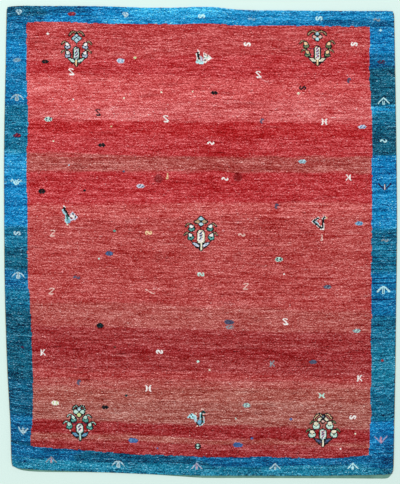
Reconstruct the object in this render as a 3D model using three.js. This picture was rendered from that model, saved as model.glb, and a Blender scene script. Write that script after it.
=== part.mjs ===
// A hand-knotted gabbeh rug, lying flat: a thick wool pile on a woven ground, the flat-woven ends turned
// under, and an overcast selvedge down each side. Four round dents show where furniture feet stood.
// Millimetres. +Z is up, +Y runs along the warps to the end woven last, and the origin is on the floor
// under the middle of the rug. Loom places are the even ones the weaver meant, and the tables below say
// how far the finished edges stray from them.
import * as THREE from "three";

const LOOM_WIDTH = 2000;
const LOOM_LENGTH = 2400;
const PILE_HEIGHT = 13;
const PILE_SHOULDER = 10;
const CELL = 80;
const CORNER_LINES = [16, 40];
const UNDERSIDE_SHARE = 0.88;

const CORD_WIDTH = 6.4;
const CORD_HEIGHT = 6;
const CORD_SIDES = 8;
const CORD_GAP = 0.3;
const CORD_END_TUCK = 8;

const DENT_RADIUS = 24;
const DENT_FLOOR = 12;
const CLOSEST_LINES = 8;

const MADDER_RED = 0xa3303a;
const SELVEDGE_OLIVE = 0x3f4a3c;

// How far the pile reaches to the left and right of the middle, from the lower end to the upper one.
const SIDES = [
  { along: -1200, left: 959, right: 975 },
  { along: -1160, left: 968, right: 986 },
  { along: -1000, left: 976, right: 993 },
  { along: -681, left: 991, right: 999 },
  { along: -295, left: 1002, right: 1004 },
  { along: 91, left: 1004, right: 1007 },
  { along: 478, left: 1007, right: 1002 },
  { along: 864, left: 1002, right: 997 },
  { along: 1175, left: 994, right: 992 },
  { along: 1200, left: 989, right: 986 },
];

// How far the pile reaches above and below the middle, from left to right, and how much of the
// turned-under flat weave shows past it at the lower end.
const ENDS = [
  { across: -1000, upper: 1211, lower: 1149, web: 0 },
  { across: -960, upper: 1215, lower: 1160, web: 3 },
  { across: -920, upper: 1216, lower: 1167, web: 7 },
  { across: -845, upper: 1218, lower: 1175, web: 2 },
  { across: -519, upper: 1218, lower: 1186, web: 1.5 },
  { across: -287, upper: 1212, lower: 1194, web: 1.5 },
  { across: -4, upper: 1220, lower: 1201, web: 6 },
  { across: 73, upper: 1218, lower: 1203, web: 9 },
  { across: 151, upper: 1206, lower: 1204, web: 11 },
  { across: 254, upper: 1198, lower: 1206, web: 12 },
  { across: 511, upper: 1195, lower: 1207, web: 13 },
  { across: 769, upper: 1192, lower: 1205, web: 14 },
  { across: 930, upper: 1191, lower: 1201, web: 14 },
  { across: 980, upper: 1190, lower: 1195, web: 12 },
  { across: 1000, upper: 1186, lower: 1186, web: 0 },
];

// The edge in section, from the floor up: how far in from the pile's reach it lies at the sides and at
// the ends, and whether it moves out with the web. The pile bulges over the cords and over the web.
const EDGE = [
  { side: 3.2, end: 0.6, withWeb: true, z: 0 },
  { side: 3, end: 0, withWeb: true, z: 1.4 },
  { side: 3, end: 0.4, withWeb: true, z: 2.8 },
  { side: 3, end: 0.4, withWeb: false, z: 5.2 },
  { side: 0.3, end: 0, withWeb: false, z: 7.2 },
  { side: 0.9, end: 1, withWeb: false, z: 10.2 },
  { side: 4.4, end: 4.6, withWeb: false, z: 12.5 },
];

const DENTS = [
  { across: -217, along: 330, depth: 2.4 },
  { across: 192, along: 338, depth: 2.2 },
  { across: -220, along: -74, depth: 1.3 },
  { across: 189, along: -74, depth: 1.3 },
];

// Slow swells in the pile's surface: the lengths of their waves across and along, and their heights.
const SWELLS = [
  { across: 1630, along: 1950, height: 0.35 },
  { across: 910, along: 1240, height: 0.15 },
];

// The value of a table's column at a place between its rows, on a curve that passes through every row.
function smoothly(rows, place, column, at) {
  const last = rows.length - 1;
  const above = rows.findIndex((row) => row[place] > at);
  const k = above < 0 ? last - 1 : Math.max(above - 1, 0);
  const slope = (n) => {
    const a = rows[Math.max(n - 1, 0)];
    const b = rows[Math.min(n + 1, last)];
    return (b[column] - a[column]) / (b[place] - a[place]);
  };
  const from = rows[k];
  const to = rows[k + 1];
  const span = to[place] - from[place];
  const t = THREE.MathUtils.clamp((at - from[place]) / span, 0, 1);
  const turn = t * (1 - t);
  const straight = THREE.MathUtils.lerp(from[column], to[column], t * t * (3 - 2 * t));
  return straight + span * turn * ((1 - t) * slope(k) - t * slope(k + 1));
}

// Where a loom place lies on the finished rug, once its sides and ends are drawn in by so much. A
// negative end is a web, which only the lower end has.
function placed(across, along, side, end) {
  const u = across / LOOM_WIDTH + 0.5;
  const v = along / LOOM_LENGTH + 0.5;
  const left = -smoothly(SIDES, "along", "left", along) + side;
  const right = smoothly(SIDES, "along", "right", along) - side;
  const lower = -smoothly(ENDS, "across", "lower", across) + end;
  const upper = smoothly(ENDS, "across", "upper", across) - Math.max(end, 0);
  return [THREE.MathUtils.lerp(left, right, u), THREE.MathUtils.lerp(lower, upper, v)];
}

function placedOnEdge(row, across, along, side = row.side) {
  const web = row.withWeb ? smoothly(ENDS, "across", "web", across) : 0;
  return placed(across, along, side, row.end - web);
}

function pileTop(across, along) {
  const swells = SWELLS.map((swell) => {
    const turn = 2 * Math.PI;
    return swell.height * Math.sin((turn * across) / swell.across) * Math.cos((turn * along) / swell.along);
  });
  const pressed = DENTS.map((dent) => {
    const distance = Math.hypot(across - dent.across, along - dent.along);
    return dent.depth * (1 - THREE.MathUtils.smoothstep(distance, DENT_FLOOR, DENT_RADIUS));
  });
  return PILE_HEIGHT + swells.reduce((sum, height) => sum + height, 0) - Math.max(...pressed);
}

// Grid lines from one edge of the loom to the other: even ones, with more through each dent and near
// the corners.
function gridLines(length, dentPlaces) {
  const cells = Math.round(length / CELL);
  const even = Array.from({ length: cells + 1 }, (_, i) => (i / cells - 0.5) * length);
  const steps = [-DENT_RADIUS, -DENT_FLOOR, 0, DENT_FLOOR, DENT_RADIUS];
  const dented = dentPlaces.flatMap((at) => steps.map((step) => at + step));
  const corners = CORNER_LINES.flatMap((inset) => [inset - length / 2, length / 2 - inset]);
  const kept = [even[0], even[cells]];
  for (const at of [...corners, ...dented, ...even]) {
    if (kept.every((line) => Math.abs(line - at) >= CLOSEST_LINES)) kept.push(at);
  }
  return kept.sort((a, b) => a - b);
}

const ACROSS = gridLines(LOOM_WIDTH, DENTS.map((dent) => dent.across));
const ALONG = gridLines(LOOM_LENGTH, DENTS.map((dent) => dent.along));

// The loom's edge as a closed walk, anticlockwise from the lower left corner.
function loomEdge() {
  const [left, right] = [ACROSS[0], ACROSS.at(-1)];
  const [lower, upper] = [ALONG[0], ALONG.at(-1)];
  return [
    ...ACROSS.slice(0, -1).map((across) => ({ across, along: lower })),
    ...ALONG.slice(0, -1).map((along) => ({ across: right, along })),
    ...ACROSS.slice(1).reverse().map((across) => ({ across, along: upper })),
    ...ALONG.slice(1).reverse().map((along) => ({ across: left, along })),
  ];
}

class Shell {
  points = [];
  faces = [];

  add(x, y, z) {
    this.points.push(x, y, z);
    return this.points.length / 3 - 1;
  }

  quad(a, b, c, d) {
    this.faces.push(a, b, c, a, c, d);
  }

  // A wall between two rings of points that go round anticlockwise, seen from the second ring's side.
  join(first, second) {
    first.forEach((a, i) => {
      const next = (i + 1) % first.length;
      this.quad(a, first[next], second[next], second[i]);
    });
  }

  geometry() {
    const made = new THREE.BufferGeometry();
    made.setAttribute("position", new THREE.Float32BufferAttribute(this.points, 3));
    made.setIndex(this.faces);
    made.computeVertexNormals();
    return made;
  }
}

// The underside: one large rectangle, with triangles from its corners out to the rim.
function closeUnderside(shell, edge, rim) {
  const x = (LOOM_WIDTH * UNDERSIDE_SHARE) / 2;
  const y = (LOOM_LENGTH * UNDERSIDE_SHARE) / 2;
  const lower = [shell.add(-x, -y, 0), shell.add(x, -y, 0)];
  const upper = [shell.add(-x, y, 0), shell.add(x, y, 0)];
  const nearest = ({ across, along }) => (along < 0 ? lower : upper)[across < 0 ? 0 : 1];
  edge.forEach((place, i) => {
    const next = (i + 1) % edge.length;
    const corner = nearest(place);
    const nextCorner = nearest(edge[next]);
    shell.faces.push(corner, rim[next], rim[i]);
    if (nextCorner !== corner) shell.faces.push(corner, nextCorner, rim[next]);
  });
  shell.quad(lower[0], upper[0], upper[1], lower[1]);
}

function rugGeometry() {
  const shell = new Shell();
  const edge = loomEdge();
  const rings = EDGE.map((row) =>
    edge.map(({ across, along }) => {
      const [x, y] = placedOnEdge(row, across, along);
      return shell.add(x, y, row.z);
    }),
  );
  const top = ALONG.map((along) =>
    ACROSS.map((across) => {
      const [x, y] = placed(across, along, PILE_SHOULDER, PILE_SHOULDER);
      return shell.add(x, y, pileTop(across, along));
    }),
  );
  const shoulder = edge.map(({ across, along }) => top[ALONG.indexOf(along)][ACROSS.indexOf(across)]);
  [...rings.slice(1), shoulder].forEach((ring, k) => shell.join(rings[k], ring));
  for (let j = 1; j < ALONG.length; j += 1) {
    for (let i = 1; i < ACROSS.length; i += 1) {
      shell.quad(top[j - 1][i - 1], top[j - 1][i], top[j][i], top[j][i - 1]);
    }
  }
  closeUnderside(shell, edge, rings[0]);
  return shell.geometry();
}

// An overcast side cord: an oval section carried along the rug's wall, just clear of it. It stops a
// little short of the wall's two corners.
function selvedgeGeometry(side) {
  const shell = new Shell();
  const across = (side * LOOM_WIDTH) / 2;
  const wallRow = EDGE[1];
  const clear = wallRow.side - CORD_GAP - CORD_WIDTH / 2;
  const line = ALONG.map((along) => new THREE.Vector2(...placedOnEdge(wallRow, across, along, clear)));
  const tucked = (end, next) => end.lerp(next, CORD_END_TUCK / end.distanceTo(next));
  tucked(line[0], line[1]);
  tucked(line.at(-1), line.at(-2));
  const reach = 1 / Math.cos(Math.PI / CORD_SIDES);
  const rings = line.map((centre) =>
    Array.from({ length: CORD_SIDES }, (_, i) => {
      const angle = ((i + 0.5) / CORD_SIDES) * 2 * Math.PI;
      const out = (Math.cos(angle) * reach * CORD_WIDTH) / 2;
      const up = (1 + Math.sin(angle) * reach) * (CORD_HEIGHT / 2);
      return shell.add(centre.x + out, centre.y, up);
    }),
  );
  rings.slice(1).forEach((ring, j) => shell.join(ring, rings[j]));
  const cap = (ring) => ring.slice(2).forEach((point, i) => shell.faces.push(ring[0], ring[i + 1], point));
  cap(rings[0]);
  cap([...rings.at(-1)].reverse());
  return shell.geometry();
}

function piece(name, geometry, color) {
  const wool = new THREE.MeshStandardMaterial({ color, roughness: 0.95, metalness: 0 });
  const made = new THREE.Mesh(geometry, wool);
  made.name = name;
  return made;
}

const rug = new THREE.Group();
rug.add(
  piece("rug", rugGeometry(), MADDER_RED),
  piece("selvedge_left", selvedgeGeometry(-1), SELVEDGE_OLIVE),
  piece("selvedge_right", selvedgeGeometry(1), SELVEDGE_OLIVE),
);

export default rug;
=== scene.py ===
import bpy
import numpy as np
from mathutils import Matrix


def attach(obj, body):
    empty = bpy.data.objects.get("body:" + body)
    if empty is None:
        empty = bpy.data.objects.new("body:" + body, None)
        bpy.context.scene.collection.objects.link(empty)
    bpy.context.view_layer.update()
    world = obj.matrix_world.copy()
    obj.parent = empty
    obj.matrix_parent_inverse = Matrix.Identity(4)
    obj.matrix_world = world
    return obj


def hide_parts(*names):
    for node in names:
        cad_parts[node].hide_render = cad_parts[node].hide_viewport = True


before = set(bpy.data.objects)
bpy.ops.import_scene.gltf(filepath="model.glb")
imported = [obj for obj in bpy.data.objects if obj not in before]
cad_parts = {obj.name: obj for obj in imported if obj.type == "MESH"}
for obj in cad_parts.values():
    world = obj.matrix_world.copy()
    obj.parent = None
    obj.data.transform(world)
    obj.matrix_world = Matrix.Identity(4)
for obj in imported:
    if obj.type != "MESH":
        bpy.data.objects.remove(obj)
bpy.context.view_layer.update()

# The flat-woven ends. Weaving starts and stops with a strip of plain weave in pale grey-green wool, with no
# knots in it. Off the loom it is folded under the pile and stitched down, so that only a narrow edge of the
# lower strip shows. That edge, in its width and its grey-green, is partly the strip and partly painted
# shadow:
# the shadow of the pile on the floor along the lower end.

LOOM_WIDTH = 2.0
LOOM_LENGTH = 2.4


def table(columns, *rows):
    """A short table whose columns read by their names."""
    return np.rec.fromrecords(rows, names=columns)


# How far the pile reaches to the left and right of the middle, from the lower end to the upper one.
sides = table(
    "along, left, right",
    (-1.200, 0.972, 0.989),
    (-1.160, 0.976, 0.993),
    (-1.000, 0.980, 0.996),
    (-0.681, 0.997, 1.002),
    (-0.295, 1.009, 1.007),
    (0.091, 1.013, 1.011),
    (0.478, 1.013, 1.008),
    (0.864, 1.006, 1.002),
    (1.175, 1.000, 0.996),
    (1.200, 0.997, 0.992),
)

# How far the pile reaches above and below the middle, and how much of the lower strip shows past it, partly
# as painted shadow of the pile on the floor.
ends = table(
    "across, upper, lower, web",
    (-1.000, 1.217, 1.154, 0.0),
    (-0.975, 1.220, 1.162, 0.006),
    (-0.940, 1.222, 1.166, 0.011),
    (-0.860, 1.222, 1.172, 0.011),
    (-0.519, 1.220, 1.184, 0.003),
    (-0.287, 1.213, 1.193, 0.003),
    (-0.130, 1.213, 1.198, 0.008),
    (-0.004, 1.217, 1.201, 0.013),
    (0.073, 1.216, 1.201, 0.014),
    (0.151, 1.207, 1.201, 0.014),
    (0.254, 1.200, 1.201, 0.014),
    (0.511, 1.198, 1.202, 0.014),
    (0.769, 1.196, 1.200, 0.017),
    (0.930, 1.196, 1.197, 0.021),
    (0.980, 1.196, 1.195, 0.020),
    (1.000, 1.194, 1.190, 0.006),
)


def smoothly(rows, place, column, at):
    """A table's column at places between its rows, on a curve that passes through every row."""
    places, values = rows[place], rows[column]
    k = np.clip(np.searchsorted(places, at, side="right") - 1, 0, len(places) - 2)
    before = np.maximum(np.arange(len(places)) - 1, 0)
    after = np.minimum(np.arange(len(places)) + 1, len(places) - 1)
    slopes = (values[after] - values[before]) / (places[after] - places[before])
    span = places[k + 1] - places[k]
    t = np.clip((at - places[k]) / span, 0, 1)
    eased = values[k] + (values[k + 1] - values[k]) * t * t * (3 - 2 * t)
    return eased + span * t * (1 - t) * ((1 - t) * slopes[k] - t * slopes[k + 1])


def placed(across, along, side, end):
    """Where loom places lie on the finished rug, once its sides and ends are drawn in by so much."""
    left = -smoothly(sides, "along", "left", along) + side
    right = smoothly(sides, "along", "right", along) - side
    lower = -smoothly(ends, "across", "lower", across) + end
    upper = smoothly(ends, "across", "upper", across) - np.maximum(end, 0)
    x = left + (right - left) * (across / LOOM_WIDTH + 0.5)
    y = lower + (upper - lower) * (along / LOOM_LENGTH + 0.5)
    return x, y


def lattice(rows, columns, joined=False):
    """Four-sided faces between neighbours in a grid of points, whose last column may meet its first."""
    numbers = np.arange(rows * columns).reshape(rows, columns)
    if joined:
        numbers = np.column_stack([numbers, numbers[:, 0]])
    corners = numbers[:-1, :-1], numbers[:-1, 1:], numbers[1:, 1:], numbers[1:, :-1]
    return np.stack(corners, axis=-1).reshape(-1, 4)


def cloth_piece(name, points, faces, material, node):
    """A smooth mesh in one material, which stands for a node of the frame."""
    mesh = bpy.data.meshes.new(name)
    mesh.from_pydata(points.reshape(-1, 3).tolist(), [], [list(face) for face in faces])
    mesh.shade_smooth()
    mesh.materials.append(material)
    piece = bpy.data.objects.new(name, mesh)
    bpy.context.scene.collection.objects.link(piece)
    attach(piece, "root")
    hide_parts(node)
    return piece


def corner_points(piece):
    """The number of the point under each corner of a piece's faces."""
    points = np.zeros(len(piece.data.loops), dtype=np.int32)
    piece.data.loops.foreach_get("vertex_index", points)
    return points


def lay_out(piece, name, places):
    """Gives a piece a UV map from the place of each of its faces' corners."""
    layer = piece.data.uv_layers.new(name=name)
    layer.uv.foreach_set("vector", np.ascontiguousarray(places, dtype=np.float32).ravel())


def as_light(colour):
    """A colour as the eye names it, in parts of 255, turned into parts of light."""
    share = np.asarray(colour) / 255
    return np.where(share <= 0.04045, share / 12.92, ((share + 0.055) / 1.055) ** 2.4)


def opaque(colour):
    """A colour as a material takes it."""
    return (*as_light(colour), 1)


# How many waves a wave texture lays in a metre at a scale of one.
WAVES_IN_SCALE = 20 / (2 * np.pi)


class Nodes:
    """A material's node tree, put together in words: each call adds a node and returns its output."""

    def __init__(self, name):
        self.material = bpy.data.materials.new(name)
        self.material.use_nodes = True
        self.tree = self.material.node_tree
        self.shader = self.tree.nodes["Principled BSDF"]

    def set(self, socket, value):
        if isinstance(value, bpy.types.NodeSocket):
            self.tree.links.new(value, socket)
        else:
            socket.default_value = value

    def add(self, kind, output=0, inputs=(), **settings):
        node = self.tree.nodes.new(kind)
        for key, value in settings.items():
            setattr(node, key, value)
        for key, value in dict(inputs).items():
            self.set(node.inputs[key], value)
        return node.outputs[output]

    def maths(self, operation, a, b=0.0, c=0.0):
        return self.add("ShaderNodeMath", operation=operation, inputs={0: a, 1: b, 2: c})

    def grain(self, place, scale, detail=2.0):
        sizes = {"Vector": place, "Scale": scale, "Detail": detail, "Roughness": 0.6}
        return self.add("ShaderNodeTexNoise", inputs=sizes)

    def stretched(self, place, x, y):
        return self.add("ShaderNodeMapping", inputs={"Vector": place, "Scale": (x, y, 1.0)})

    def ribs(self, place, way, pitch, waver, detail):
        """Waves from nought to one, at an even pitch along X or Y."""
        sizes = {"Vector": place, "Scale": 1 / (pitch * WAVES_IN_SCALE)}
        sizes.update({"Distortion": waver, "Detail Scale": detail})
        return self.add("ShaderNodeTexWave", 1, inputs=sizes, bands_direction=way)

    def scaled(self, vector, size):
        """A place brought nearer or further, or a colour made lighter or darker."""
        return self.add("ShaderNodeVectorMath", operation="SCALE", inputs={0: vector, "Scale": size})

    def between(self, value, low, high):
        """A number from nought to one, spread between two others."""
        return self.add("ShaderNodeMapRange", inputs={"Value": value, "To Min": low, "To Max": high})

    def finish(self, colour, height, depth, roughness, sheen):
        shader = self.shader
        self.set(shader.inputs["Base Color"], colour)
        bump = {"Height": height, "Distance": depth, "Strength": 1.0}
        self.set(shader.inputs["Normal"], self.add("ShaderNodeBump", inputs=bump))
        self.set(shader.inputs["Roughness"], roughness)
        shader.inputs["Specular IOR Level"].default_value = 0.05
        shader.inputs["Sheen Weight"].default_value = sheen
        shader.inputs["Sheen Roughness"].default_value = 0.6
        return self.material


WARP_PITCH = 0.004
WEFT_PITCH = 0.0016


def plain_weave(name, colour, other_colour):
    """Weft-faced plain weave: fine ribs along the wefts, crossed by the warps that they hide."""
    wool = Nodes(name)
    place = wool.add("ShaderNodeUVMap", uv_map="loom")
    wefts = wool.ribs(place, "Y", WEFT_PITCH, 0.6, 40.0)
    warps = wool.ribs(place, "X", WARP_PITCH, 0.4, 30.0)
    fibres = wool.grain(wool.stretched(place, 500.0, 2500.0), 1.0)
    patches = wool.grain(place, 14.0)
    height = wool.maths("MULTIPLY_ADD", wefts, 0.5, wool.maths("MULTIPLY", warps, 0.5))
    mixed = wool.add(
        "ShaderNodeMix",
        2,
        inputs={0: wool.between(patches, -0.6, 1.6), 6: colour, 7: other_colour},
        data_type="RGBA",
    )
    # Painted shade: the colour darkens in the hollows between the ribs; the fibres vary it at random.
    light = wool.maths("MULTIPLY", wool.between(height, 0.7, 1.1), wool.between(fibres, 0.8, 1.2))
    height = wool.maths("MULTIPLY_ADD", fibres, 0.3, height)
    rough = wool.between(fibres, 0.82, 0.98)
    return wool.finish(wool.scaled(mixed, light), height, depth=0.0006, roughness=rough, sheen=0.15)


HEM = 0.032
WARP_RELIEF = 0.00012
UPPER_FACE = 0.002
STRIP_SIDE = 0.0031
UPPER_TUCK = 0.0008

# The folded strip in section, from its stitched inner edge round the fold and back: how far in from the
# pile's reach it lies at the end, whether it moves out with the web, and its height.
fold = table(
    "end, with_web, z",
    (HEM, 0, 0.0001),
    (0.018, 0, 0.0),
    (0.004, 0.5, 0.0),
    (0.0008, 1, 0.0),
    (0.0, 1, 0.0009),
    (0.0, 1, 0.0019),
    (0.0007, 1, 0.0027),
    (0.0024, 1, 0.0029),
    (0.006, 0.3, 0.0029),
    (0.008, 0, 0.0014),
    (0.018, 0, 0.0012),
    (HEM, 0, 0.0010),
)

# The strip's grey-green wool, partly painted shadow where its edge shows past the pile's lower end.
end_weave = plain_weave("end weave", opaque((116, 164, 148)), opaque((88, 128, 112)))
STATIONS = round(LOOM_WIDTH / (WARP_PITCH / 2)) + 1
strip_across = np.linspace(-LOOM_WIDTH / 2, LOOM_WIDTH / 2, STATIONS)[:, None]
on_warp = np.where(np.arange(STATIONS) % 2 == 0, 1.0, -1.0)[:, None] * WARP_RELIEF


def folded_strip(name, along):
    """One end's strip, a closed bar of folded cloth from the left side to the right one."""
    lower = along < 0
    web = smoothly(ends, "across", "web", strip_across) * fold.with_web
    end = fold.end - web if lower else fold.end + UPPER_TUCK
    outer = fold.with_web == 1
    x, y = placed(strip_across, np.full((STATIONS, 1), along), STRIP_SIDE, end + on_warp * outer)
    z = np.where(fold.z > UPPER_FACE, fold.z + on_warp, fold.z)
    points = np.stack(np.broadcast_arrays(x, y, z), axis=-1)
    faces = lattice(STATIONS, len(fold), joined=True)
    caps = [np.arange(len(fold)), np.arange(len(fold))[::-1] + (STATIONS - 1) * len(fold)]
    if not lower:
        faces = faces[:, ::-1]
        caps = [cap[::-1] for cap in caps]
    piece = cloth_piece(name, points, [*faces, *caps], end_weave, "rug")
    corners = corner_points(piece)
    run = np.concatenate([[0], np.cumsum(np.hypot(np.diff(fold.end), np.diff(fold.z)))])
    station, point = corners // len(fold), corners % len(fold)
    lay_out(piece, "loom", np.stack([strip_across[station, 0], run[point]], axis=-1))
    return piece


end_lower = folded_strip("end_lower", -LOOM_LENGTH / 2)
end_upper = folded_strip("end_upper", LOOM_LENGTH / 2)

# The wool and the design. The weaver knots from memory, out of small hanks dyed a pot at a time: madder for
# the field and indigo for the border. No two hanks take the dye alike, so the colour shifts in bands where
# one runs out, and every spun thread is a little uneven too.

KNOT = 0.004
KNOTS_ACROSS = round(LOOM_WIDTH / KNOT)
KNOT_ROWS = round(LOOM_LENGTH / KNOT)
CENTIMETRE = 0.01

# The dyes as they look under a light that falls off towards the rug's lower end, so the darker shades of the
# hanks lower down carry painted shade as well as dye.
dyes = {
    "old madder": (189, 68, 69),
    "clear red": (188, 55, 59),
    "rose": (205, 80, 81),
    "pale rose": (206, 89, 90),
    "faded rose": (197, 84, 82),
    "deep red": (181, 37, 41),
    "brick": (182, 71, 69),
    "pale brick": (178, 82, 77),
    "dusty brick": (170, 85, 76),
    "faded brick": (172, 97, 88),
    "umber red": (176, 64, 63),
    "claret": (162, 53, 54),
    "wine": (154, 37, 40),
    "deep indigo": (4, 80, 114),
    "indigo": (5, 97, 146),
    "deep azure": (9, 109, 161),
    "azure": (13, 120, 180),
    "sky": (24, 128, 184),
    "bright sky": (42, 146, 203),
    "pale sky": (54, 164, 220),
    "sea": (18, 105, 140),
    "teal": (9, 83, 111),
    "pale sea": (33, 123, 155),
    "ink": (18, 24, 28),
    "bottle": (10, 62, 64),
    "white": (248, 238, 234),
    "frost": (184, 234, 242),
    "blush": (230, 184, 174),
    "cream": (236, 228, 202),
    "straw": (236, 196, 152),
    "tan": (178, 150, 116),
    "grey": (130, 142, 150),
    "pink": (228, 150, 152),
    "plum": (70, 30, 66),
    "mulberry": (126, 44, 84),
    "brown": (92, 44, 34),
    "mint": (188, 224, 210),
    "ice": (172, 208, 220),
    "water": (118, 168, 196),
    "blue": (62, 104, 164),
    "slate": (78, 82, 106),
    "leaf": (198, 212, 150),
    "jade": (84, 156, 146),
    "lilac": (204, 208, 226),
    "heather": (172, 184, 206),
    "dusty pink": (196, 134, 156),
    "dusk": (152, 152, 186),
    "navy": (34, 38, 84),
    "moss": (112, 128, 88),
}

# The hanks of the field, from the top down: how far above the middle each one starts at the left side and at
# the right one, in centimetres, and its dye. Few of their edges run level. Their darker shades towards the
# lower end are partly dye and partly painted shade, where the light falls off.
field_hanks = table(
    "left, right, dye",
    (125.0, 125.0, "old madder"),
    (94.0, 98.0, "clear red"),
    (88.0, 83.0, "rose"),
    (68.0, 76.0, "pale rose"),
    (63.0, 61.0, "deep red"),
    (56.0, 53.0, "clear red"),
    (46.0, 44.0, "pale brick"),
    (37.0, 36.0, "clear red"),
    (20.0, 21.0, "faded rose"),
    (12.0, 14.0, "brick"),
    (-30.0, -36.0, "pale brick"),
    (-42.0, -47.5, "claret"),
    (-51.0, -57.0, "wine"),
    (-55.5, -61.5, "claret"),
    (-64.0, -70.0, "umber red"),
    (-69.0, -73.0, "pale brick"),
    (-75.0, -76.0, "dusty brick"),
    (-82.0, -83.0, "faded brick"),
    (-91.5, -97.5, "wine"),
    (-98.0, -104.0, "dusty brick"),
    (-101.5, -106.0, "claret"),
    (-106.0, -109.0, "wine"),
)

# The hanks of the border's two sides, from the top down, each to the nearest half centimetre.
left_hanks = table(
    "top, dye",
    (122.0, "indigo"),
    (114.0, "deep azure"),
    (105.0, "azure"),
    (95.0, "sky"),
    (88.5, "indigo"),
    (82.5, "deep azure"),
    (72.0, "sea"),
    (46.0, "bright sky"),
    (38.0, "sky"),
    (31.0, "azure"),
    (7.5, "sea"),
    (-3.0, "teal"),
    (-14.0, "indigo"),
    (-23.5, "sea"),
    (-34.0, "teal"),
    (-71.0, "deep indigo"),
    (-90.0, "indigo"),
    (-103.0, "deep indigo"),
    (-109.5, "pale sea"),
)
right_hanks = table(
    "top, dye",
    (122.0, "deep azure"),
    (111.5, "azure"),
    (98.0, "indigo"),
    (91.0, "teal"),
    (70.5, "pale sky"),
    (68.0, "sea"),
    (60.0, "teal"),
    (45.0, "azure"),
    (31.0, "sky"),
    (6.5, "sea"),
    (-15.5, "deep azure"),
    (-37.0, "sea"),
    (-55.0, "pale sea"),
    (-74.0, "sea"),
    (-92.5, "azure"),
    (-105.0, "deep azure"),
    (-109.5, "deep indigo"),
)

# Above and below the field the hanks change along the rows instead: how far right of the middle each one
# starts, and its dye in the outer rows and in the inner ones.
upper_hanks = table(
    "start, outer, inner",
    (-100.0, "deep indigo", "indigo"),
    (-78.0, "indigo", "azure"),
    (-55.0, "azure", "azure"),
    (-48.0, "azure", "bright sky"),
    (-36.0, "pale sky", "bright sky"),
    (-18.0, "pale sky", "sky"),
    (15.0, "bright sky", "sky"),
    (64.0, "sky", "indigo"),
)
lower_hanks = table(
    "start, outer, inner",
    (-100.0, "pale sea", "indigo"),
    (-60.0, "pale sea", "deep indigo"),
    (0.0, "pale sea", "indigo"),
)

# How wide the border is at the sides and at the ends.
border_sides = table(
    "along, left, right",
    (-1.20, 0.104, 0.126),
    (-1.03, 0.102, 0.125),
    (-0.95, 0.113, 0.123),
    (-0.88, 0.118, 0.117),
    (-0.81, 0.124, 0.124),
    (-0.65, 0.128, 0.119),
    (-0.50, 0.129, 0.125),
    (-0.35, 0.125, 0.122),
    (-0.19, 0.115, 0.126),
    (0.12, 0.116, 0.125),
    (0.43, 0.112, 0.122),
    (0.58, 0.118, 0.120),
    (0.74, 0.111, 0.123),
    (0.84, 0.103, 0.130),
    (0.94, 0.105, 0.129),
    (1.04, 0.102, 0.125),
    (1.20, 0.104, 0.123),
)
border_ends = table(
    "across, lower, upper",
    (-1.00, 0.125, 0.082),
    (-0.85, 0.117, 0.082),
    (-0.72, 0.111, 0.079),
    (-0.62, 0.110, 0.083),
    (-0.52, 0.103, 0.087),
    (-0.36, 0.098, 0.084),
    (-0.21, 0.098, 0.081),
    (-0.05, 0.097, 0.084),
    (0.05, 0.092, 0.083),
    (0.25, 0.094, 0.080),
    (0.36, 0.094, 0.075),
    (0.51, 0.089, 0.078),
    (0.72, 0.089, 0.077),
    (0.80, 0.096, 0.079),
    (1.00, 0.104, 0.083),
)


def drift(rows, columns, height, width, seed):
    """Soft unevenness over a grid: random numbers smoothed over so many rows and columns, evened to one."""
    raw = np.random.default_rng(seed).standard_normal((rows, columns))
    up = np.fft.fftfreq(rows)[:, None] * height
    right = np.fft.rfftfreq(columns)[None, :] * width
    soft = np.exp(-2 * np.pi**2 * (up**2 + right**2))
    smooth = np.fft.irfft2(np.fft.rfft2(raw) * soft, s=(rows, columns))
    return smooth / smooth.std()


def over_knots(height, width, seed):
    """The same over the grid of knots."""
    return drift(KNOT_ROWS, KNOTS_ACROSS, height, width, seed)


BAND_STEP = 0.2
BAND_REACH = 15
BAND_SOFTNESS = 0.6
PAST_THE_ENDS = 125


def run_of_hanks(changes, names, places):
    """The colour at places along a run of hanks, in centimetres, with each change a little softened."""
    fine = np.arange(-PAST_THE_ENDS, PAST_THE_ENDS, BAND_STEP)
    order = np.argsort(changes)
    rising = len(changes) > 1 and changes[1] > changes[0]
    side = np.searchsorted(changes[order], fine, side="right" if rising else "left")
    which = order[np.clip(side - (1 if rising else 0), 0, len(changes) - 1)]
    steps = np.array([dyes[name] for name in names], dtype=float)[which]
    reach = np.arange(-BAND_REACH, BAND_REACH + 1) * BAND_STEP
    weights = np.exp(-0.5 * (reach / BAND_SOFTNESS) ** 2)
    weights /= weights.sum()
    padded = [np.pad(channel, BAND_REACH, mode="edge") for channel in steps.T]
    soft = [np.convolve(channel, weights, mode="valid") for channel in padded]
    return np.stack([np.interp(places, fine, channel) for channel in soft], axis=-1)


knot_across = ((np.arange(KNOTS_ACROSS) + 0.5) * KNOT - LOOM_WIDTH / 2)[None, :]
knot_along = ((np.arange(KNOT_ROWS) + 0.5) * KNOT - LOOM_LENGTH / 2)[:, None]
on_loom = np.broadcast_to(knot_across, (KNOT_ROWS, KNOTS_ACROSS))

# Each band's edge wavers, because the thread ends at any knot of a row.
band_waver = 0.3 * over_knots(10, 60, 1) + 0.4 * over_knots(0.8, 9, 2)
row_place = on_loom / CENTIMETRE + 4.0 * over_knots(5, 50, 3)


def bands(hanks, across):
    """The bands of one side of the border, along the knot rows, which run a little aslant on the rug."""
    lift = placed(np.array(across), np.array(0.0), 0.0, 0.0)[1]
    return run_of_hanks(hanks.top, hanks.dye, (knot_along + lift) / CENTIMETRE + band_waver)


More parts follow.
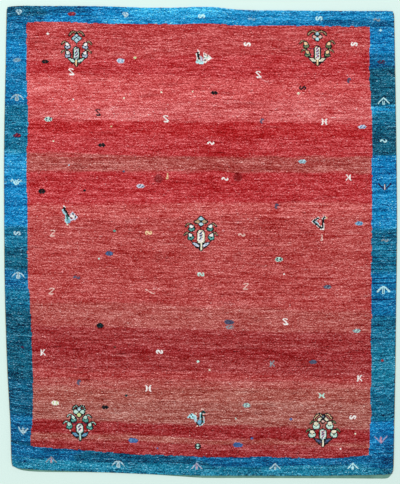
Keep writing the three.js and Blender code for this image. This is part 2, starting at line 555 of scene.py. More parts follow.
BORDER_COLUMN = 0.95
HANK_BLEND = 1.8
row_lift = placed(knot_across, np.zeros_like(knot_across), 0.0, 0.0)[1]
row_height = (knot_along + row_lift) / CENTIMETRE + band_waver
to_right = np.clip(row_place * CENTIMETRE / LOOM_WIDTH + 0.5, 0, 1)

# Each hank of the field takes over from the one above it along a slanting line, a little softened.
field = np.zeros((KNOT_ROWS, KNOTS_ACROSS, 3))
for hank in field_hanks:
    top = hank.left + (hank.right - hank.left) * to_right
    begun = np.clip((top - row_height) / HANK_BLEND + 0.5, 0, 1)[..., None]
    field = field + (np.array(dyes[hank.dye]) - field) * begun

from_left = knot_across + LOOM_WIDTH / 2
from_right = LOOM_WIDTH / 2 - knot_across
from_lower = knot_along + LOOM_LENGTH / 2
from_upper = LOOM_LENGTH / 2 - knot_along
waver = 0.0007 * over_knots(2, 2, 4)
in_left = from_left + waver < smoothly(border_sides, "along", "left", knot_along)
in_right = from_right + waver < smoothly(border_sides, "along", "right", knot_along)
lower_width = smoothly(border_ends, "across", "lower", knot_across)
upper_width = smoothly(border_ends, "across", "upper", knot_across)
in_lower = from_lower + waver < lower_width
in_upper = from_upper + waver < upper_width
in_border = in_left | in_right | in_lower | in_upper

wool = np.where(in_left[..., None], bands(left_hanks, -BORDER_COLUMN), field)
wool = np.where(in_right[..., None], bands(right_hanks, BORDER_COLUMN), wool)
OUTER_SHARE = 0.45
OUTER_BLEND = 0.1
for rows, hanks, depth in (
    (in_lower, lower_hanks, from_lower / lower_width),
    (in_upper, upper_hanks, from_upper / upper_width),
):
    outer = run_of_hanks(hanks.start, hanks.outer, row_place)
    inner = run_of_hanks(hanks.start, hanks.inner, row_place)
    inwards = np.clip((depth + 0.08 * over_knots(1, 20, 5) - OUTER_SHARE) / OUTER_BLEND, 0, 1)[..., None]
    wool = np.where(rows[..., None], outer + (inner - outer) * inwards, wool)

# Streaks where one length of thread is paler or darker than the next. A pale one has taken less dye, so it
# is also greyer: in the red its green and blue change most, and in the blue its red does.
streaks = 5.0 * over_knots(0.7, 12, 6) + 3.0 * over_knots(2.2, 40, 7) + 5.0 * over_knots(1.2, 4, 8)
dye_and_shade_weights = np.where(in_border[..., None], (0.9, 1.2, 1.3), (0.7, 1.1, 1.05))
wool = wool + streaks[..., None] * dye_and_shade_weights

# Soft patches where wear, dye or a spill has left the wool lighter or darker, in centimetres right of the
# middle and above it, with how far they reach each way. The dark one at the lower end of the right border's
# outer edge is painted shade.
patches = table(
    "right, up, across, along, change",
    (66.3, 68.4, 1.3, 1.0, -48.0),
    (-81.2, 77.9, 9.0, 1.4, 18.0),
    (56.0, 69.0, 10.0, 4.5, 10.0),
    (2.0, 26.0, 12.0, 3.2, -14.0),
    (38.5, 21.0, 3.5, 3.5, -12.0),
    (37.0, 12.5, 2.6, 5.0, -22.0),
    (36.5, -57.5, 4.0, 2.2, -14.0),
    (-68.0, -3.8, 20.0, 0.9, 11.0),
    (-63.5, -45.0, 6.0, 2.4, -12.0),
    (60.0, -50.8, 24.0, 0.7, -14.0),
    (60.0, -54.0, 24.0, 1.0, 9.0),
    (-25.0, -74.8, 26.0, 0.7, 11.0),
    # Painted shade along the outer edge of the right border, near its lower end.
    (97.5, -110.0, 2.6, 9.0, -26.0),
    (18.0, 38.0, 22.0, 11.0, -12.0),
    (-30.0, 66.0, 11.0, 9.0, 12.0),
)
blotchy = 1 + 0.3 * over_knots(2, 4, 13)
for patch in patches:
    far_across = (on_loom / CENTIMETRE - patch.right) / patch.across
    far_along = (knot_along / CENTIMETRE - patch.up) / patch.along
    near = np.exp(-0.5 * (far_across**2 + far_along**2)) * blotchy
    wool = wool + (patch.change * near)[..., None] * dye_and_shade_weights


def knot_at(right, up):
    """The row and column of the knot that ends up at a place on the finished rug, by closer guesses."""
    across, along = right, up
    for guess in range(6):
        x, y = placed(across, along, 0.0, 0.0)
        across += right - x
        along += up - y
    return (along + LOOM_LENGTH / 2) / KNOT - 0.5, (across + LOOM_WIDTH / 2) / KNOT - 0.5


# In the right border the weaver put in single pairs of rows from a darker hank, every few centimetres from a
# little above the middle down.
DARK_PAIRS = 12
PAIRS_START = 9.0
PAIR_GAPS = (1.8, 4.6)
PAIR_DARKER = 32.0
for up in PAIRS_START - np.cumsum(np.random.default_rng(31).uniform(*PAIR_GAPS, DARK_PAIRS)):
    first = round(knot_at(BORDER_COLUMN, up * CENTIMETRE)[0])
    pair = slice(first, first + 2)
    wool[pair] -= np.where(in_right[pair], PAIR_DARKER, 0.0)[..., None] * dye_and_shade_weights[pair]


class Spot:
    """The knots round a place on the rug, which is given in centimetres right of and above the middle."""

    def __init__(self, right, up, reach):
        row, column = knot_at(right * CENTIMETRE, up * CENTIMETRE)
        size = round(reach * CENTIMETRE / KNOT)
        rows = slice(max(round(row) - size, 0), round(row) + size)
        columns = slice(max(round(column) - size, 0), round(column) + size)
        self.knots = wool[rows, columns]
        self.up = ((np.arange(KNOT_ROWS)[rows] - row) * KNOT / CENTIMETRE)[:, None]
        self.right = ((np.arange(KNOTS_ACROSS)[columns] - column) * KNOT / CENTIMETRE)[None, :]

    def stroke(self, path, widths):
        """How far each knot lies outside a line along a path, with half its width at each point."""
        path = np.array(path, dtype=float)
        steps = np.linspace(0, len(path) - 1, 10 * (len(path) - 1) + 1)
        points = np.arange(len(path))
        x, y = (np.interp(steps, points, path[:, n])[:, None, None] for n in (0, 1))
        half = np.interp(steps, points, np.broadcast_to(widths, len(path)))[:, None, None]
        return np.min(np.hypot(self.right - x, self.up - y) - half, axis=0)

    def tie(self, shapes, outline=0.0):
        """Ties shapes in, each a dye, a path and its half widths, inside one dark outline of some width."""
        strokes = [(dye, self.stroke(path, widths)) for dye, path, widths in shapes]
        for _, outside in strokes:
            self.knots[outside < outline] = dyes["ink"]
        for dye, outside in strokes:
            self.knots[outside < 0] = dyes[dye]


plain_wool = wool.copy()

# The five flowering plants. Each is a striped flower head on a foot, between two pairs of buds with curled
# tips and under a crown. Its sizes are in centimetres from its own middle, and it has its own threads.


def both(dye, path, widths):
    """A shape on a plant's right side and its mirror image on the left."""
    return [(dye, path, widths), (dye, [(-x, y) for x, y in path], widths)]


plants = table(
    "right, up, upper_out, upper_high, lower_out, lower_high, bud, head_high, head_low, head_half",
    (-64.3, 100.3, 4.6, 1.3, 4.4, -3.1, 1.05, -0.6, -4.3, 1.3),
    (60.3, 100.5, 5.8, 1.5, 5.1, -2.9, 1.0, -0.3, -4.7, 1.3),
    (0.1, 5.0, 4.7, 2.5, 5.3, -2.0, 1.1, -0.2, -3.6, 1.7),
    (-62.7, -93.2, 3.1, 2.0, 5.3, -1.6, 1.15, -2.0, -3.5, 1.65),
    (63.2, -96.4, 3.5, 1.9, 5.7, -2.4, 1.45, -1.6, -3.7, 1.6),
)
plant_threads = table(
    "petal, bowl, curl, rim, head, bar, leaf, vein, foot",
    ("white", "heather", "tan", "mint", "white", "plum", "mint", "mint", "straw"),
    ("straw", "moss", "tan", "cream", "white", "mulberry", "cream", "grey", "straw"),
    ("white", "jade", "tan", "cream", "white", "plum", "lilac", "water", "cream"),
    ("mint", "jade", "mint", "mint", "white", "plum", "water", "blue", "mint"),
    ("cream", "mint", "moss", "mint", "white", "mulberry", "slate", "blue", "cream"),
)
crowns = (
    [
        *both("tan", [(0.5, 8.3), (1.6, 8.8), (2.8, 8.3), (3.6, 7.0)], 0.2),
        ("ice", [(-2.2, 5.3), (0.0, 5.3), (2.2, 5.3)], (0.25, 1.5, 0.25)),
        ("ice", [(0.0, 7.4), (0.0, 5.3), (0.0, 3.3)], (0.2, 1.5, 0.2)),
    ],
    [
        *both("tan", [(0.7, 8.3), (2.0, 8.9), (3.4, 8.4), (4.6, 7.2)], 0.2),
        *both("blush", [(1.4, 6.1)], 0.85),
        ("ice", [(0.0, 7.5)], 0.85),
        ("frost", [(0.0, 4.9)], 1.0),
    ],
    [
        *both("tan", [(1.3, 6.0), (2.8, 5.7)], (1.0, 0.35)),
        ("ice", [(-1.1, 6.9), (0.0, 7.5), (1.1, 6.9)], (0.4, 0.9, 0.4)),
        ("ice", [(-0.7, 5.0), (0.0, 4.6), (0.7, 5.0)], (0.4, 0.9, 0.4)),
    ],
    [
        *both("mint", [(0.5, 8.0), (1.3, 9.1), (2.5, 8.4), (3.1, 7.0)], 0.12),
        *both("mint", [(1.6, 5.8)], 1.15),
        ("ice", [(0.0, 7.2)], 0.9),
        ("leaf", [(0.0, 4.2)], 1.0),
    ],
    [
        *both("straw", [(0.8, 7.2), (1.9, 7.9), (3.2, 7.3), (4.4, 5.7)], (0.1, 0.1, 0.2, 0.25)),
        *both("cream", [(2.2, 4.9), (1.4, 5.3)], (0.55, 0.8)),
        ("grey", [(0.0, 6.5)], 0.65),
        ("blush", [(0.0, 4.0)], 0.7),
    ],
)
OUTLINE = 0.55
CURL_OUTLINE = 0.4
SEAM = 0.22
curled_tip = np.array([(0.5, 1.8), (1.5, 2.3), (2.4, 2.0), (3.1, 1.1)])

for plant, thread, crown in zip(plants, plant_threads, crowns):
    spot = Spot(plant.right, plant.up, 12)
    stalk = [("ink", [(0.0, 3.4), (0.0, 1.0)], 0.2)]
    branches = both("ink", [(plant.lower_out, plant.lower_high), (plant.upper_out, plant.upper_high)], 0.22)
    branches += both("ink", [(0.2, -8.6), (2.6, -7.2), (plant.lower_out, plant.lower_high - 1.4)], 0.28)
    branches += both("plum", [(1.6, -0.2), (4.4, -0.2)], 0.12)
    curls, buds, seams = [], [], []
    for out, high in ((plant.upper_out, plant.upper_high), (plant.lower_out, plant.lower_high)):
        curls += both(thread.curl, curled_tip + (out, high), (0.3, 0.25, 0.2, 0.12))
        buds += both(thread.bowl, [(out - 0.5, high - 0.3), (out + 0.4, high - 0.5)], plant.bud - 0.2)
        petal = plant.bud * 0.85
        buds += both(thread.petal, [(out, high + 0.6), (out + 0.5, high + 1.4)], (petal, petal / 2))
        seams += both("bottle", [(out - 1.0, high + 0.4), (out, high - 0.3), (out + 1.0, high + 0.3)], SEAM)
    middle = [(0.0, plant.head_high), (0.0, plant.head_low)]
    top_of_foot = plant.head_low - plant.head_half
    spot.tie(stalk + branches)
    spot.tie(curls, CURL_OUTLINE)
    spot.tie(
        crown
        + buds
        + both(thread.leaf, [(1.2, -6.5), (2.4, -6.0), (3.9, -5.1)], (0.4, 0.7, 0.15))
        + [(thread.foot, [(0.1, top_of_foot), (0.1, -8.4)], 0.45)]
        + [(thread.rim, middle, plant.head_half)]
        + [(thread.head, middle, plant.head_half - 0.5)],
        OUTLINE,
    )
    seams += [("ink", [(-1.1, 6.8), (1.1, 4.9)], SEAM), ("ink", [(1.1, 6.8), (-1.1, 4.9)], SEAM)]
    spot.tie(seams + both(thread.vein, [(2.2, -6.1), (2.7, -5.9)], 0.2))
    for bar in np.arange(plant.head_high + 0.5, plant.head_low - 0.6, -1.5):
        below = bar - 0.7
        spot.tie([("water", [(-0.6, below - 0.5), (0.6, below + 0.5)], 0.14)])
        spot.tie([(thread.bar, [(-0.6, bar - 0.5), (0.6, bar + 0.5)], 0.3)])

for side in (-4.8, 4.8):
    Spot(plants[3].right + side, plants[3].up - 3.8, 2).tie([("blush", [(0.0, 0.0)], 0.4)])

# The four birds, each knotted a little differently, with pale rims round their dark necks.
swimming_bird = (
    ("white", [(-2.4, 4.0), (-1.7, 2.9), (-1.5, 0.4)], (0.3, 0.35, 0.25)),
    ("white", [(-3.4, 2.6), (-2.8, 1.4), (-2.7, -0.9)], 0.3),
    ("frost", [(-2.6, -2.0), (-1.2, -2.6), (0.2, -2.4)], 0.75),
    ("mint", [(-2.3, -1.5), (-1.3, -1.9), (-0.5, -1.7)], 0.7),
    ("lilac", [(-0.6, 0.3), (-0.5, -1.6)], 0.5),
    ("white", [(0.7, 2.4), (0.7, -2.7)], 0.35),
    ("white", [(1.5, 1.8), (1.5, -2.2)], 0.5),
    ("blush", [(2.3, 1.3), (2.3, -1.6)], 0.45),
    ("white", [(3.1, 0.9), (3.1, -1.0)], 0.45),
    ("white", [(3.8, 0.4), (3.8, -0.4)], 0.4),
    ("white", [(4.5, -0.1)], 0.3),
    ("mint", [(2.2, 0.1)], 0.7),
    ("ink", [(-3.1, 2.5), (-2.4, 2.7), (-2.1, 1.6), (-1.9, -0.5)], (0.35, 0.55, 0.5, 0.5)),
    ("plum", [(1.2, 1.4)], 0.42),
    ("plum", [(1.4, -1.2)], 0.42),
    ("bottle", [(2.7, 1.1)], 0.35),
    ("grey", [(-2.5, -1.3)], 0.25),
    ("grey", [(0.9, 0.2)], 0.25),
)
standing_bird = (
    ("ice", [(-2.7, 3.8), (-2.5, 2.8), (-1.6, 1.4)], (0.5, 0.6, 0.4)),
    ("white", [(-2.3, 5.6), (-1.8, 5.0)], 0.35),
    ("frost", [(-1.6, -1.6), (-1.3, -2.2), (-0.5, -3.3)], 0.4),
    ("ice", [(-1.2, 1.4), (-1.3, -0.4), (-0.9, -1.8)], 0.45),
    ("jade", [(-0.5, 0.9), (-0.4, -1.0), (-0.5, -1.8)], 0.65),
    ("frost", [(0.4, -0.4), (0.6, -1.2)], 0.4),
    ("water", [(0.3, -1.9), (0.2, -2.6)], 0.75),
    ("lilac", [(1.1, 0.9), (2.1, 2.3), (3.2, 1.0), (4.3, 0.1), (3.2, -1.0), (1.3, -1.6)], 0.4),
    ("white", [(1.6, 0.4), (2.9, 0.1)], 0.75),
    ("ink", [(-2.2, 4.4), (-1.6, 3.4), (-0.9, 2.3), (-0.3, 1.2), (0.5, 0.2)], (0.75, 0.6, 0.55, 0.45, 0.3)),
    ("bottle", [(-1.0, 0.6), (-0.7, -0.8)], 0.25),
    ("bottle", [(2.2, 1.5)], 0.45),
    ("bottle", [(3.6, 0.5), (3.3, -0.6)], 0.35),
    ("plum", [(1.4, -0.5)], 0.4),
    ("ink", [(-0.2, -3.2)], 0.25),
    ("cream", [(-0.4, -4.0)], 0.4),
    ("blush", [(0.5, -4.6)], 0.35),
)
angle = [(-0.8, 2.0), (-3.3, 0.3), (-0.6, -1.9), (0.9, -3.1), (1.7, -3.0)]
upright = [(2.7, 2.5), (1.9, 1.9), (1.7, -1.9), (1.6, -2.9)]
outlined_bird = (
    ("white", angle, 0.68),
    ("white", upright, 0.66),
    ("ice", [(-2.4, 0.3), (-0.9, -0.8)], 0.5),
    ("white", [(1.1, -2.3)], 0.45),
    ("white", [(0.5, -3.9), (2.1, -3.9)], 0.4),
    ("pink", [(0.1, 0.6)], 0.6),
    ("ink", angle, 0.48),
    ("ink", upright, 0.46),
    ("straw", [(3.6, 2.3)], 0.35),
    ("pink", [(1.9, 3.6)], 0.5),
)
proud_bird = (
    ("frost", [(-5.2, 0.0), (-3.2, 0.6), (-1.8, 0.3)], (0.3, 1.3, 1.0)),
    ("ice", [(-1.6, -0.6), (-1.2, -2.0)], (0.7, 0.5)),
    ("frost", [(1.3, 2.2), (1.2, -0.8)], 0.3),
    ("frost", [(2.9, 0.3), (3.0, -2.4), (1.9, -3.9), (0.6, -4.1)], 0.25),
    ("ink", [(-0.8, -2.7), (0.4, -3.6), (1.8, -3.2)], 0.45),
    ("water", [(0.8, -2.3)], 1.25),
    ("ink", [(-0.3, -0.5), (0.4, -0.1)], 0.4),
    ("bottle", [(3.6, 2.4), (2.9, 3.0), (2.0, 2.6), (1.9, 0.2), (2.3, -2.4)], 0.5),
    ("white", [(2.9, 1.8)], 0.35),
    ("pink", [(4.2, 1.6)], 0.35),
    ("ink", [(3.8, 0.6)], 0.35),
    ("blush", [(2.0, 4.5), (3.0, 4.1)], 0.35),
    ("cream", [(-1.1, 2.2)], 0.4),
    ("cream", [(-0.5, -4.4)], 0.35),
    *[("bottle", [dot], 0.38) for dot in ((-4.3, 0.0), (-3.7, -0.8), (-3.4, 1.3), (-2.9, 0.3), (-2.1, -0.4))],
)
for right, up, bird in (
    (0.9, 95.6, swimming_bird),
    (-68.4, 13.3, standing_bird),
    (61.4, 10.7, outlined_bird),
    (-1.4, -90.3, proud_bird),
):
    Spot(right, up, 8).tie(bird)

# Charts of the small marks, one letter for each knot, with the row tied last on top: a for the mark's own
# thread, b for its second one.
charts = {
    "dot": """
        .aa.
        aaaa
        .aa.""",
    "burr": """
        ..aa.aaa..
        .aaaaaaaa.
        aaaabbaaaa
        .aaaaaaaa.
        ..aaa.aa..""",
    "lens": """
        ...aabaaa..
        .aaabbaaaa.
        aaabbaaabba
        .aabaaabba.
        ..aaaabaa..""",
    "twins": """
        ..aaaaab..
        .abbaaabba
        aabbaabbaa
        aabaaabbaa
        .abbaaabba
        ..aaabaa..""",
    "wave": """
        .aa..aaa.
        aa..aaaaa
        aa.aaa.aa
        aaaaa..aa
        .aaa..aa.""",
    "ripple": """
        .aaa...a.
        aaaaa..aa
        aa..aaaaa
        .....aaa.""",
    "zig": """
        .aaaaa..
        aa...aa.
        .aa.....
        ..aa....
        ...aa...
        ....aa..
        .....aa.
        .aaaaaaa
        ..aaaaa.""",
    "ladder": """
        aa....aa
        .aa..aa.
        .aa..aa.
        .aaaaaa.
        .aa..aa.
        .aa..aa.
        .aa..aa.
        aa....aa""",
    "fork": """
        .a...aa
        .aa.aa.
        .aa.a..
        .aaaa..
        .aaa...
        .aa.aa.
        .aa..aa
        aa....a""",
    "cane": """
        .aa
        ..a
        ..a
        .aa
        .aa
        .aa
        a.a
        aaa""",
    "hook": """
        ..aaa.
        .aaaaa
        .aa.aa
        .aaa..
        aaa...
        .aaa..
        ..aa..""",
    "vine": """
        aaa..........
        .aaa.........
        ....a........
        .....aaa.....
        .......aa...a
        ........aaaa.""",
    "ring": """
        ..aaaa..
        .aabbaa.
        aabbbbaa
        aaabbaaa
        aaaaaaaa
        aabbbbaa
        .aabbaa.
        ..aaaa..""",
    "curls": """
        .aa.aa..
        a.ab.aa.
        aab.aaaa
        .aaab.aa
        ..aaaaa.
        ...aba..
        ...aa...""",
    "arrow": """
        ........a........
        .......aaa.......
        ......aabaa......
        .....aa.b.aa.....
        ....aa..b..aa....
        ...aa..aba..aa...
        ..aa...aba...aa..
        .aa....aba....aa.
        .a.....aba.....a.
        .......aaa.......""",
    "small arrow": """
        .......a.......
        ......aaa......
        .....aabaa.....
        ....aa.b.aa....
        ...aa..b..aa...
        ..aa..aba..aa..
        .aa...aba...aa.
        aa....aba....aa
        ......aaa......""",
    "roof": """
        .......aaa.......
        .....aaaaaaa.....
        ....aaaaaaaaa....
        ...aaa.aba.aaa...
        ..aaa..aba..aaa..
        .aaa...aba...aaa.
        aaa....aba....aaa
        aa.....aba.....aa
        .......aba.......
        .......aaa.......""",
    "umbrella": """
        ......aaaaa......
        ....aaaabaaaa....
        ...aa..aba..aa...
        ..aa...aba...aa..
        .aa...aabaa...aa.
        .a....aabaa....a.
        a.....ababa.....a
        ......aabaa......
        .......aaa.......""",
    "sprig": """
        a...............a
        aa......b......aa
        .aa....abb....aa.
        ..aa...abb...aa..
        ...aa..abb..aa...
        ....aa.abb.aa....
        .....aaabbaaa....
        ......aabbaa.....
        .......abba......
        ........aa.......""",
    "fleur": """
        a.....a......
        aa....a.....a
        .a...aba...aa
        .aa..aba..aa.
        ..aa.aba.aa..
        ..aaaabaaaa..
        ...aaabaaa...
        ....aabaa....
        .....aba.....
        ......a......""",
    "briar": """
        ..a.......a.....
        .aaa..a..aa..aa.
        aa.aa.aaaa..aa..
        .a..aaaabaaaa...
        ....aabaabaa....
        ....aaabaaa.....
        .....aaaaaa.....
        ......aaa.......""",
    "stile": """
        aa....aa
        .aa..aa.
        .aaaaaa.
        .aaaaaa.
        .aa..aa.
        aa....aa""",
    "blob": """
        ..aaaaa..
        .aaaaaaa.
        aaaabbaaa
        aaaaaaaaa
        aaabbaaaa
        .aaaaaaa.
        ..aa.aa..""",
    "cloud": """
        ..aaaaaaaa...
        .aaabaaaabaa.
        aabaaabaaabaa
        aaabaaaabaaaa
        .aabaaabaaaa.
        ..aaaaaaaaa..""",
    "spread": """
        a...............a
        aa......a......aa
        aaa....aba....aaa
        .aaa...aba...aaa.
        ..aaa..aba..aaa..
        ...aaa.aba.aaa...
        ....aaaabaaaa....
        .....aaabaaa.....
        ......aabaa......
        .......aaa.......""",
}
mirrored = {"roll": "wave", "zag": "zig", "bough": "fork"}
for name, other in mirrored.items():
    charts[name] = "\n".join(line[::-1] for line in charts[other].split())

# The small marks, in centimetres right of the middle and above it. The second thread is for what a chart
# marks b.
marks = table(
    "chart, right, up, thread, second",
    ("dot", -79.0, 108.0, "white", "white"),
    ("burr", -80.5, 93.6, "ink", "brown"),
    ("twins", -41.7, 94.0, "lilac", "water"),
    ("dot", -34.0, 95.6, "leaf", "leaf"),
    ("zig", -67.0, 88.2, "white", "white"),
    ("wave", 24.1, 102.6, "white", "white"),
    ("wave", 79.3, 102.5, "white", "white"),
    ("zig", 29.9, 87.0, "white", "white"),
    ("hook", 76.5, 84.0, "slate", "slate"),
    ("wave", 52.5, 80.0, "ink", "ink"),
    ("dot", 50.6, 77.2, "cream", "cream"),
    ("burr", 7.0, 77.5, "ink", "brown"),
    ("zig", -53.0, 67.5, "ink", "ink"),
    ("zig", -18.0, 64.0, "white", "white"),
    ("hook", 31.5, 63.0, "slate", "slate"),
    ("ladder", 63.8, 62.5, "white", "white"),
    ("lens", 83.6, 60.0, "lilac", "blue"),
    ("twins", -79.0, 63.7, "mint", "slate"),
    ("burr", -51.3, 50.4, "ink", "brown"),
    ("ripple", 5.4, 51.5, "white", "white"),
    ("lens", 52.5, 42.0, "ice", "grey"),
    ("dot", -40.0, 37.0, "slate", "slate"),
    ("cane", -17.5, 34.5, "straw", "straw"),
    ("ripple", 12.7, 32.9, "white", "white"),
    ("bough", 76.5, 33.8, "white", "white"),
    ("lens", -31.2, 29.5, "lilac", "slate"),
    ("blob", -82.0, 26.5, "ink", "brown"),
    ("dot", -60.0, 27.0, "ink", "ink"),
    ("hook", 39.0, 19.0, "slate", "slate"),
    ("lens", 82.0, 10.0, "water", "blue"),
    ("dot", 11.5, 6.5, "pink", "pink"),
    ("dot", -44.5, 6.0, "jade", "jade"),
    ("roll", -26.9, 5.2, "straw", "straw"),
    ("zag", -76.4, 4.9, "blush", "blush"),
    ("ripple", 21.0, 4.2, "blush", "blush"),
    ("cane", 62.5, 2.5, "blush", "blush"),
    ("twins", -47.5, -5.5, "slate", "blue"),
    ("twins", 40.2, -8.5, "mint", "bottle"),
    ("ripple", -64.0, -18.0, "slate", "slate"),
    ("roll", 0.1, -16.3, "mint", "mint"),
    ("zag", -77.3, -25.0, "blush", "blush"),
    ("zag", 23.2, -22.8, "blush", "blush"),
    ("vine", -26.0, -25.0, "blush", "blush"),
    ("vine", 32.6, 84.2, "pink", "pink"),
    ("lens", 65.5, -23.0, "slate", "grey"),
    ("cloud", 14.6, -40.9, "slate", "plum"),
    ("lens", 15.2, -43.5, "grey", "dusty brick"),
    ("zig", 44.0, -40.9, "white", "white"),
    ("blob", -52.0, -43.0, "ink", "bottle"),
    ("lens", 80.7, -45.4, "grey", "mint"),
    ("fork", -81.9, -56.5, "white", "white"),
    ("dot", -44.5, -54.0, "brown", "brown"),
    ("roll", -21.5, -56.5, "white", "white"),
    ("dot", -1.5, -61.5, "mint", "mint"),
    ("fork", 37.0, -62.5, "grey", "grey"),
    ("lens", 58.0, -61.5, "slate", "slate"),
    ("fork", 82.1, -69.9, "white", "white"),
    ("hook", -63.0, -72.0, "slate", "slate"),
    ("ladder", -27.2, -75.3, "white", "white"),
    ("stile", 62.4, -79.0, "mint", "mint"),
    ("dot", -38.5, -79.0, "bottle", "bottle"),
    ("twins", -75.5, -82.7, "white", "leaf"),
    ("burr", -49.5, -85.0, "ink", "ink"),
    ("twins", 23.4, -84.2, "grey", "mint"),
    ("dot", 46.5, -91.0, "blue", "blue"),
    ("wave", 78.7, -90.4, "white", "white"),
    ("cloud", -34.9, -102.3, "blue", "water"),
    ("ring", -1.5, -105.2, "ink", "mint"),
    ("cloud", 19.0, -104.4, "blue", "slate"),
    ("dot", 26.5, -101.0, "blue", "blue"),
    ("curls", -94.0, 119.1, "ice", "teal"),
    ("lens", -66.5, 118.2, "claret", "plum"),
    ("curls", -39.0, 117.7, "ice", "grey"),
    ("wave", 0.3, 117.1, "frost", "frost"),
    ("ripple", 26.3, 115.4, "water", "water"),
    ("ripple", 42.0, 115.3, "pale sky", "pale sky"),
    ("wave", 61.1, 115.8, "frost", "frost"),
    ("ripple", 91.0, 115.2, "grey", "grey"),
    ("dot", 93.0, 110.0, "frost", "frost"),
    ("lens", -95.0, 94.5, "water", "grey"),
    ("umbrella", -95.2, 75.2, "ice", "plum"),
    ("lens", -95.0, 55.5, "plum", "claret"),
    ("briar", -95.4, 31.3, "frost", "azure"),
    ("wave", -95.0, 5.0, "ice", "ice"),
    ("umbrella", -94.4, -16.8, "ice", "grey"),
    ("dot", -92.0, -54.0, "plum", "plum"),
    ("fleur", -91.9, -97.0, "ice", "grey"),
    ("lens", 93.5, 93.5, "plum", "teal"),
    ("arrow", 94.6, 73.5, "frost", "teal"),
    ("ripple", 94.5, 52.5, "frost", "frost"),
    ("spread", 95.0, 29.2, "navy", "white"),
    ("ripple", 95.0, 1.0, "grey", "grey"),
    ("roof", 94.5, -24.5, "frost", "teal"),
    ("dot", 94.0, -61.0, "claret", "claret"),
    ("sprig", 93.0, -101.9, "dusk", "dusty pink"),
    ("small arrow", -77.2, -112.2, "grey", "dusty pink"),
    ("umbrella", -42.5, -114.3, "ice", "grey"),
    ("small arrow", -2.3, -115.6, "heather", "dusty pink"),
    ("small arrow", 38.3, -115.4, "ice", "grey"),
    ("small arrow", 78.7, -115.4, "frost", "frost"),
)
for mark in marks:
    chart = np.array([list(line) for line in charts[mark.chart].split()])[::-1]
    row, column = knot_at(mark.right * CENTIMETRE, mark.up * CENTIMETRE)
    first_row = round(row - (chart.shape[0] - 1) / 2)
    first_column = round(column - (chart.shape[1] - 1) / 2)
    knots = wool[first_row : first_row + chart.shape[0], first_column : first_column + chart.shape[1]]
    knots[chart == "a"] = dyes[mark.thread]
    knots[chart == "b"] = dyes[mark.second]

# Left-over ends of thread that the weaver used up in single knots.
strays = table(
    "right, up, thread",
    (-20.5, 77.5, "cream"),
    (-4.5, 78.0, "cream"),
    (-66.0, 74.0, "white"),
    (-40.0, 74.5, "cream"),
    (-46.5, 60.0, "straw"),
    (-76.5, 52.5, "cream"),
    (-68.5, 40.0, "ice"),
    (-53.0, -8.5, "mint"),
    (-72.0, -15.0, "pink"),
    (43.0, -16.5, "white"),
    (4.5, -66.0, "cream"),
    (18.0, -91.0, "mint"),
    (79.5, -99.0, "cream"),
    (-22.5, -106.5, "blue"),
    (72.0, -106.5, "white"),
)
for stray in strays:
    row, column = (round(n) for n in knot_at(stray.right * CENTIMETRE, stray.up * CENTIMETRE))
    wool[row : row + 2, column : column + 2] = dyes[stray.thread]

# Hand-spun thread is thick and thin, dark and light, from one knot to the next. Each row leans over the one
# below and shades it where it is thick. The motifs' threads are more even, and the indigo wool hides nearly
# all the red that its dyes name.
spun = 22.0 * over_knots(0.05, 0.2, 10) + 9.0 * over_knots(0.25, 1.8, 11) + 9.0 * over_knots(0.35, 8, 12)
spun = spun - 0.25 * np.roll(spun, -1, axis=0)
in_motif = (wool != plain_wool).any(axis=-1)[..., None]
spun_share = np.where(in_border[..., None], (1.85, 1.4, 1.4), (1.04, 1.36, 1.36))
spun_share = np.where(in_motif, 0.6, spun_share)
less_red = np.where(in_border[..., None] & ~in_motif, (18.0, 0.0, 0.0), 0.0)
wool = as_light(np.clip(wool + spun[..., None] * spun_share - less_red, 2, 252))

# The knotted pile. Each tuft is tied round two warps, beaten down with its row and cut about a centimetre
# long. The cut ends make a soft surface, a little clumped, leaning out over the edges and pressed in where
# four furniture feet stood. It is knotted in four courses, between moves of the cloth on the loom.

PILE_HEIGHT = 0.013
COURSES = 4

# The dents, and how much painted shade darkens the pressed wool in them.
dents = table(
    "across, along, depth, darker",
    (-0.217, 0.330, 0.0026, 0.46),
    (0.192, 0.338, 0.0024, 0.42),
    (-0.220, -0.074, 0.0014, 0.1),
    (0.189, -0.074, 0.0014, 0.1),
)
DENT_RADIUS = 0.029
DENT_FLOOR = 0.017

# The slow waves in which the cloth lies, from crest to crest.
swells = table("across, along, height", (1.630, 1.950, 0.00035), (0.910, 1.240, 0.00015))

# The pile's edge in section, from its top outwards and down: how far in from its reach it lies at the sides
# and at the ends, and its height.
pile_edge = table(
    "side, end, z",
    (0.0040, 0.0042, 0.0123),
    (0.0010, 0.0012, 0.0102),
    (0.0003, 0.0002, 0.0070),
    (0.0030, 0.0012, 0.0029),
)
SHOULDER = 0.0128
SKIRT = len(pile_edge) - 1


def edged(length, count, inset):
    """One way across the pile's grid: its loom places, insets, height limits and places in the dye's grid."""
    first, last = -length / 2, length / 2
    places = np.concatenate([[first] * SKIRT, np.linspace(first, last, count + 1), [last] * SKIRT])
    insets = np.concatenate([inset[:0:-1], np.full(count + 1, inset[0]), inset[1:]])
    limits = np.full(count + 1, 1.0)
    limits[[0, -1]] = pile_edge.z[0]
    limits[[1, -2]] = SHOULDER
    limits = np.concatenate([pile_edge.z[:0:-1], limits, pile_edge.z[1:]])
    on_cloth = (np.arange(count + 1 + 2 * SKIRT) - SKIRT) * KNOT - length / 2
    return places, insets, limits, on_cloth


def smoothstep(value, low, high):
    t = np.clip((value - low) / (high - low), 0, 1)
    return t * t * (3 - 2 * t)


